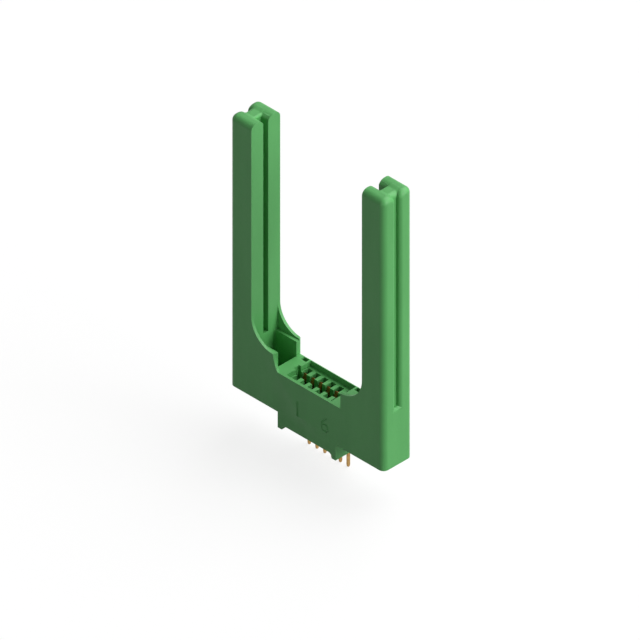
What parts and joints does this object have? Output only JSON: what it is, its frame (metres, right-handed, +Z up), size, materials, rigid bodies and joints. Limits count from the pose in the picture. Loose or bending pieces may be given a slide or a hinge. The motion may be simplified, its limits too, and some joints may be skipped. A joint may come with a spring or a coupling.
{
  "type": "card edge connector",
  "caption": "Card edge connector: a one-piece green moulding with two tall card guides over a slotted body, and a row of sprung contacts with square pin tails.",
  "frame": {"origin": "on the circuit board's surface, midway between the two feet, in the plane of the inserted card", "axes": "+X along the row of contacts, +Y from the front face to the back face, +Z up out of the board towards the tops of the card guides"},
  "size_m": [0.0502, 0.0094, 0.0873],
  "materials": {
    "moulding": "satin moulded green thermoplastic",
    "contact": "gold-plated copper alloy, softly polished"
  },
  "bodies": {
    "root": {"housing": "moulding", "contact_1": "contact", "contact_2": "contact", "contact_3": "contact", "contact_4": "contact", "contact_5": "contact", "contact_6": "contact"}
  },
  "joints": []
}
